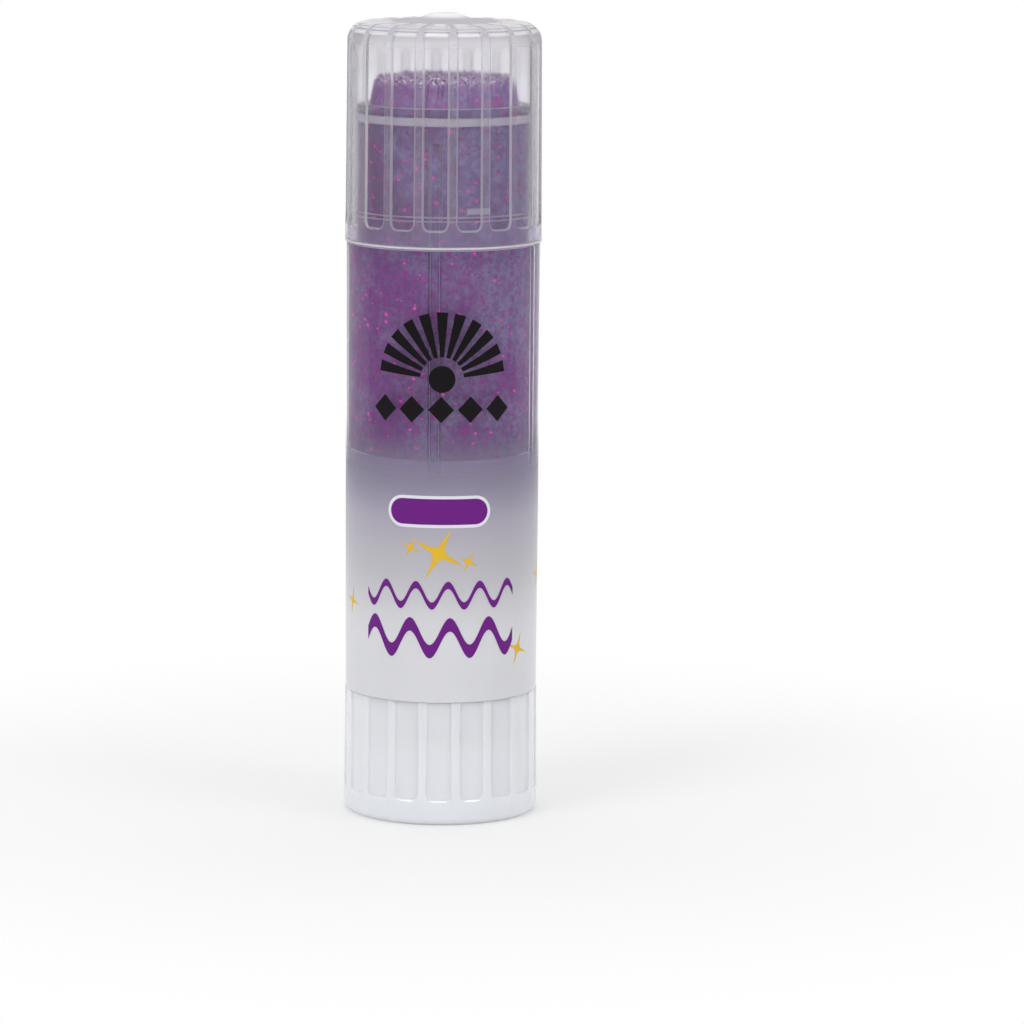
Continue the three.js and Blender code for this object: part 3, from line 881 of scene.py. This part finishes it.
def scatter(name, places, radius):
    """Copies the flake to each place, turned at random, and joins the copies."""
    copies = []
    for place, tilt in places:
        size = draw.uniform(*radius)
        copy = bpy.data.objects.new(name, flake.data.copy())
        bpy.context.scene.collection.objects.link(copy)
        scale = Matrix.Diagonal((size, size, flake_thickness, 1))
        copy.data.transform(Matrix.Translation(place) @ tilt.to_matrix().to_4x4() @ scale)
        copies.append(copy)
    put_down()
    for copy in copies:
        copy.select_set(True)
    bpy.context.view_layer.objects.active = copies[0]
    bpy.ops.object.join()
    copies[0].name = name
    return copies[0]


def on_side(low):
    """A place in the gel's side skin above a height, and a lean of some twenty degrees."""
    z = draw.uniform(low, gel_top - 0.4)
    angle = draw.uniform(0, math.tau)
    out = min(1, max(0, (z - shrunk_from) / (gel_top - shrunk_from)))
    r = wet_radius + out * (gel_top_radius - wet_radius)
    direction = Vector((math.sin(angle), -math.cos(angle)))
    if abs(off_by(direction, key_angle, key_step)) < groove_half and not out:
        r -= groove_depth
    lean = Euler((math.pi / 2 + draw.gauss(0, 0.15), draw.gauss(0, 0.15), angle))
    return Vector((*direction * r, z)) * MM, lean


def on_top():
    """A place on the gel's top, or on its side just under the top, and any lean."""
    angle = draw.uniform(0, math.tau)
    r = (gel_top_radius + 0.1) * math.sqrt(draw.random())
    z = gel_top + draw.uniform(-0.15, 0.35)
    if draw.random() < 0.2:
        sunk = draw.expovariate(1 / 0.25)
        slope = (wet_radius - shrunk_by - gel_top_radius) / (gel_top - barrel_mouth)
        r = gel_top_radius + 0.05 + sunk * slope
        z = gel_top - sunk
    lean = Euler((draw.gauss(0, 0.9), draw.gauss(0, 0.9), angle))
    return Vector((r * math.sin(angle), -r * math.cos(angle), z)) * MM, lean


glitter_side = scatter("glitter_side", [on_side(cup_rim + 0.5) for _ in range(side_flakes)], (0.12, 0.28))
glitter_neck = scatter("glitter_neck", [on_side(shoulder) for _ in range(neck_flakes)], (0.16, 0.32))
glitter_top = scatter("glitter_top", [on_top() for _ in range(top_flakes)], (0.1, 0.2))
bpy.data.objects.remove(flake)

# Painted glints: both foils glow a little, though they are no lamp, in place of the lamps' glints on them.
foil = Finish(
    "magenta foil",
    Metallic=0.2,
    Roughness=0.3,
    Emission_Color=colour(240, 60, 185),
    Emission_Strength=foil_painted_glint,
)
foil.feed("Base Color", foil.mix(foil.noise(1.2), colour(250, 96, 205), colour(176, 50, 165)))
silver_foil = Finish("silvery foil", Metallic=0.1, Roughness=0.25, Emission_Strength=foil_painted_glint)
# Some flakes silvery, some dark; the silvery ones also glow more, as a painted glint.
silver_and_painted_glint_share = silver_foil.between(silver_foil.noise(2.5, 0.0), 0.38, 0.62)
silver_foil.feed("Base Color", silver_foil.mix(silver_and_painted_glint_share, colour(254, 250, 255), colour(104, 76, 116)))
silver_foil.feed("Emission Color", silver_foil.mix(silver_and_painted_glint_share, colour(246, 234, 250), colour(70, 40, 84)))
for glitter, finish in ((glitter_side, foil), (glitter_neck, foil), (glitter_top, silver_foil)):
    finished(glitter, finish, "glitter_gel", "carrier")
    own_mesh(glitter)

# Cap: a clear polypropylene cup that grips the neck's rings. Its flutes start above a plain rim,
# run over the shoulder and end on its top, round the low boss where the plastic was let in.
cap_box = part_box("cap")
cap_rim = cap_box[0].z / MM - 0.1
cap_boss = (4.2, 1.7, 1.0)  # radius at its foot, at its top, and height
cap_top = cap_box[1].z / MM - cap_boss[2]
cap_ceiling = cap_top - 1.0
cap_crown = cap_top - 1.3
cap_rim_radius = 12.57
cap_top_radius = 12.38
cap_bore = 11.27
cap_flute_angle = -4  # degrees
cap_flute_wall = 0.25
cap_flute_end = cap_rim + 2.2
crown_flute_end = 6.7
darker_from = (94.0, 96.5)  # heights: the plastic starts to be tinted darker, and is
darker_to = (99.0, 101.0)  # heights: it starts to be tinted lighter again, and is
ceiling_shade = (100.96, 101.1, 101.14, 101.28)  # heights of a line: starts, full, still full, ends
shoulder_shade = (101.34, 101.42, 101.48, 101.58)

cap_outline = eased(
    [
        (wide_core, cap_ceiling, 0),
        (cap_bore, cap_ceiling, 1.4),
        (cap_bore, cap_rim, 0),
        (cap_rim_radius, cap_rim, 0),
        (cap_rim_radius - 0.02, cap_flute_end, 0),
        (cap_rim_radius - 0.03, cap_flute_end + corner_room, 0),
        (cap_top_radius, cap_top - 0.15, 2.4),
        (crown_flute_end + 1.4, cap_top - 0.05, 0),
        (crown_flute_end, cap_top, 0),
        (cap_boss[0], cap_top, 0),
        (cap_boss[1], cap_top + cap_boss[2], 0.3),
        (small_core, cap_top + cap_boss[2], 0),
    ],
    steps=8,
)
cap_shell = turned("cap_shell", cap_outline, base_columns, closed=False)
draw_in(
    cap_shell,
    cap_flute_angle,
    lambda at: abs(at.z - cap_flute_end) < 0.01,
    lambda rise: bpy.ops.transform.translate(value=(0, 0, rise * MM)),
)
draw_in(
    cap_shell,
    cap_flute_angle,
    lambda at: abs(at.z - cap_top) < 0.01 and abs(math.hypot(at.x, at.y) - crown_flute_end) < 0.01,
    lambda rise: bpy.ops.transform.resize(
        value=(1 + rise / crown_flute_end, 1 + rise / crown_flute_end, 1), center_override=(0, 0, 0)
    ),
)
press_flutes(
    cap_shell,
    cap_flute_angle,
    cap_flute_wall,
    lambda at, to: (outward(at, to) or to.z > 0.3)
    and at.z > cap_flute_end
    and math.hypot(at.x, at.y) > crown_flute_end,
)
modify(cap_shell, "BEVEL", width=0.1 * MM, segments=2, limit_method="ANGLE", angle_limit=math.radians(30))
smooth(cap_shell, 60)

clear_plastic = Finish("clear polypropylene", Transmission_Weight=0.96, IOR=hazy_index)
cap_height = clear_plastic.along("Z")
darker_band = clear_plastic.between(cap_height, *darker_from) - clear_plastic.between(cap_height, *darker_to)
clear_plastic.feed("Base Color", clear_plastic.mix(darker_band, colour(251, 250, 254), colour(244, 243, 246)))
crown = clear_plastic.between(cap_height, cap_ceiling - 3, cap_ceiling)
clear_plastic.feed("Roughness", clear_plastic.noise(0.4) * 0.05 + crown * 0.33 + 0.12)
finished(cap_shell, clear_plastic, "cap_plastic", "cap", "cap")
frosted_plastic = Finish(
    "frosted polypropylene", Base_Color=colour(228, 226, 232), Transmission_Weight=0.72, IOR=hazy_index
)
frosted_plastic.feed("Roughness", frosted_plastic.noise(0.8) * 0.1 + 0.3)


def on_wall(at, to):
    """Whether a face of the cap is a flute's wall."""
    r = math.hypot(at.x, at.y)
    if r < cap_boss[0] + 0.1 or at.z < cap_flute_end - 0.2:
        return False
    return sideways(at, to) > 0.2 or at.z < cap_flute_end + 1.6 and abs(to.z) > 0.2 and r > cap_bore + 0.5


def in_flute(at):
    """Whether a place is on a flute's floor, seen from above."""
    r = math.hypot(at.x, at.y)
    return r > crown_flute_end and abs(off_by(at, cap_flute_angle, flute_step)) < flute_half - 0.5


frost(cap_shell, frosted_plastic, on_wall)
rib_plastic = Finish("streaky polypropylene", Transmission_Weight=0.86, IOR=hazy_index)
streak = rib_plastic.noise(0.5)
rib_plastic.feed("Base Color", rib_plastic.mix(streak, colour(222, 220, 226), colour(232, 230, 236)))
rib_plastic.feed("Roughness", streak * 0.1 + 0.15)
frost(
    cap_shell,
    rib_plastic,
    lambda at, to: cap_flute_end < at.z < cap_crown
    and outward(at, to)
    and sideways(at, to) < 0.15
    and not in_flute(at),
)
crown_plastic = Finish("misty polypropylene", Transmission_Weight=0.2, IOR=hazy_index)
crown_tip = crown_plastic.between(crown_plastic.along("Z"), cap_top + 0.3, cap_top + 0.8)
crown_plastic.feed("Base Color", crown_plastic.mix(crown_tip, colour(191, 188, 195), colour(250, 250, 251)))
crown_plastic.feed("Roughness", crown_plastic.noise(0.8) * 0.1 + 0.4)
frost(cap_shell, crown_plastic, lambda at, to: at.z > cap_crown and to.z > -0.1 and not in_flute(at))
thin_crown = Finish("thinly misty polypropylene", Transmission_Weight=0.5, IOR=hazy_index)
window_height = thin_crown.along("Z")


def band(low, full, still, high):
    """A signal of 1 in a band of heights on the crown, eased to 0 at its edges."""
    return thin_crown.between(window_height, low, full) - thin_crown.between(window_height, still, high)


shade = band(*ceiling_shade) + band(*shoulder_shade) * 0.6
thin_crown.feed("Base Color", thin_crown.mix(shade * 0.8, colour(250, 249, 252), colour(160, 158, 165)))
thin_crown.feed("Roughness", thin_crown.noise(0.8) * 0.1 + 0.3)
frost(cap_shell, thin_crown, lambda at, to: to.z > -0.1 and at.z > cap_crown - 0.1 and in_flute(at))
frost(
    cap_shell,
    frosted_plastic,
    lambda at, to: to.z > -0.1 and cap_crown - 0.9 < at.z < cap_crown and not in_flute(at),
)
hazed_rim = Finish(
    "hazed polypropylene", Base_Color=colour(242, 234, 255), Transmission_Weight=0.9, IOR=hazy_index
)
hazed_rim.feed("Roughness", hazed_rim.noise(0.8) * 0.1 + 0.15)
frost(cap_shell, hazed_rim, lambda at, to: at.z < cap_flute_end and outward(at, to))

# Cap edge: the lowest edge of the cap, in the same clear polypropylene. It is left matt by the ring
# that pushed the cap out of its mould.
edge_height = 0.35
cap_edge_outline = [
    Vector((cap_bore + 0.15, cap_rim - 0.02)),
    Vector((cap_rim_radius + 0.01, cap_rim - 0.02)),
    Vector((cap_rim_radius + 0.01, cap_rim + edge_height)),
    Vector((cap_bore + 0.15, cap_rim + edge_height)),
]
cap_edge = turned("cap_edge", cap_edge_outline, barrel_columns)
modify(cap_edge, "BEVEL", width=0.12 * MM, segments=3, limit_method="ANGLE", angle_limit=math.radians(20))
smooth(cap_edge)
matt_plastic = Finish(
    "matt polypropylene", Base_Color=colour(240, 240, 243), Transmission_Weight=0.35, IOR=1.3
)
matt_plastic.feed("Roughness", matt_plastic.noise(0.8) * 0.1 + 0.35)
finished(cap_edge, matt_plastic, "cap_plastic", "cap")

# Stage: a wide pale floor that keeps the shadow near the stick and fades to white, grey boards
# that only clear plastic sees, a curtain and a strip lamp that only gloss sees, and soft boxes.
floor_half = 8.0
shadow_reach = (0.03, 0.12)  # metres from the axis: the shadow starts to fade, and is gone
screen_height = 0.6
curtain_radius = 0.45
curtain_back = 0.05
board_radius = 0.4
board_ends = (math.radians(24), math.radians(100))  # from the back
strip_lamp = (0.42, 0.12)  # half its length and half its width, in metres
strip_place = (0, -0.05, 0.9)
strip_glow = 11.0
sky_strength = 0.55  # of the light on the stick
soft_box_size = 0.5
stick_middle = (0, 0, 0.05)
reflected_white = 0.8  # off gloss and through clear plastic
every_ray = {"camera", "diffuse", "glossy", "transmission", "shadow"}


def staged(piece, name, finish, seen_by):
    """Gives a piece of the stage its finish, and shows it to some kinds of rays only."""
    piece.name = name
    piece.data.materials.append(finish.material)
    for kind in every_ray - seen_by:
        setattr(piece, "visible_" + kind, False)


def round_screen(radius, *cuts):
    """A screen stood round the stick, without what lies past its cuts. Each is a place towards
    the back and a direction."""
    put_down()
    middle_height = (0, 0, screen_height / 2)
    bpy.ops.mesh.primitive_cylinder_add(
        vertices=120, radius=radius, depth=screen_height, end_fill_type="NOTHING", location=middle_height
    )
    bpy.ops.object.transform_apply()
    bpy.ops.object.mode_set(mode="EDIT")
    for back, direction in cuts:
        bpy.ops.mesh.select_all(action="SELECT")
        bpy.ops.mesh.bisect(plane_co=(0, back, 0), plane_no=(*direction, 0), clear_outer=True)
    bpy.ops.object.mode_set(mode="OBJECT")
    return bpy.context.object


def seen_plainly(tree):
    """1 to rays from the camera, and to those that come off gloss or through clear plastic."""
    seen = tree.node("ShaderNodeLightPath", output="Is Camera Ray")
    for kind in ("Is Glossy Ray", "Is Transmission Ray"):
        seen = seen.maths("MAXIMUM", seen, tree.node("ShaderNodeLightPath", output=kind))
    return seen


put_down()
bpy.ops.mesh.primitive_plane_add(size=2 * floor_half)
floor = bpy.context.object
paper = Finish("white paper", Base_Color=colour(240, 240, 240), Roughness=0.8)
off_centre = paper.node("ShaderNodeVectorMath", {"operation": "LENGTH"}, {0: paper.place}, 1)
spread = paper.between(off_centre, *shadow_reach)
lit_paper = paper.node(
    "ShaderNodeMixShader",
    values={
        0: seen_plainly(paper) * (spread * 0.6 + 0.4),
        1: Signal(paper, paper.shader.outputs[0]),
        2: paper.node("ShaderNodeEmission"),
    },
)
paper.links.new(lit_paper.socket, paper.nodes["Material Output"].inputs["Surface"])
staged(floor, "floor", paper, every_ray)

velvet = Finish("dark velvet", Base_Color=colour(60, 58, 66), Roughness=0.9)
staged(round_screen(curtain_radius, (curtain_back, (0, 1))), "curtain", velvet, {"glossy"})
card = Finish("grey card", Base_Color=colour(178, 176, 180), Roughness=0.9)
for side in (-1, 1):
    near = (-side * math.cos(board_ends[0]), math.sin(board_ends[0]))
    far = (side * math.cos(board_ends[1]), -math.sin(board_ends[1]))
    staged(round_screen(board_radius, (0, near), (0, far)), "board", card, {"transmission"})
put_down()
bpy.ops.mesh.primitive_circle_add(
    vertices=48, radius=strip_lamp[1], fill_type="NGON", location=strip_place
)
bpy.ops.transform.resize(value=(strip_lamp[0] / strip_lamp[1], 1, 1))
glow = Finish(
    "lamp glass", Base_Color=(0, 0, 0, 1), Emission_Color=(1, 1, 1, 1), Emission_Strength=strip_glow
)
staged(bpy.context.object, "lamp", glow, {"glossy"})


def soft_box(name, place, power, glossy=False):
    """A square area light aimed at the middle of the stick."""
    light = bpy.data.lights.new(name, "AREA")
    light.size = soft_box_size
    light.energy = power
    box = bpy.data.objects.new(name, light)
    bpy.context.scene.collection.objects.link(box)
    box.location = place
    box.visible_glossy = glossy
    box.visible_transmission = False
    box.rotation_euler = (Vector(stick_middle) - Vector(place)).to_track_quat("-Z", "Y").to_euler()


soft_box("left_box", (-0.7, -0.75, 0.55), 4.2)
soft_box("right_box", (0.85, -0.5, 0.4), 2.4)
soft_box("top_box", (0.0, 0.1, 1.0), 2.6, glossy=True)

studio = bpy.data.worlds.new("studio")
bpy.context.scene.world = studio
sky = Nodes(studio)
soft_light = sky.node("ShaderNodeBackground", values={"Color": (1, 1, 1, 1), "Strength": sky_strength})
seen_directly = sky.node("ShaderNodeLightPath", output="Is Camera Ray")
brightness = seen_directly * (1 - reflected_white) + reflected_white
white = sky.node("ShaderNodeBackground", values={"Color": (1, 1, 1, 1), "Strength": brightness})
backdrop = sky.node("ShaderNodeMixShader", values={0: seen_plainly(sky), 1: soft_light, 2: white})
sky.links.new(backdrop.socket, sky.nodes["World Output"].inputs["Surface"])

# Camera: a long lens two thirds of a metre away and a little above the stick, tipped down at it,
# and rolled by half a degree, because the stick leans by as much in the picture.
eye_place = (0.00905, -0.667, 0.1456)
eye_tip = 80.9  # degrees up from straight down
eye_roll = 0.47
long_lens = 184.2

eye = bpy.data.cameras.new("eye")
eye.sensor_width = 36
eye.lens = long_lens
eye.clip_start = 0.05
eye.clip_end = 30
camera = bpy.data.objects.new("camera", eye)
bpy.context.scene.collection.objects.link(camera)
camera.location = eye_place
tip = Matrix.Rotation(math.radians(eye_tip), 3, "X")
roll = Matrix.Rotation(math.radians(eye_roll), 3, "Z")
camera.rotation_euler = (tip @ roll).to_euler()
bpy.context.scene.camera = camera
bpy.context.scene.view_settings.view_transform = "Standard"
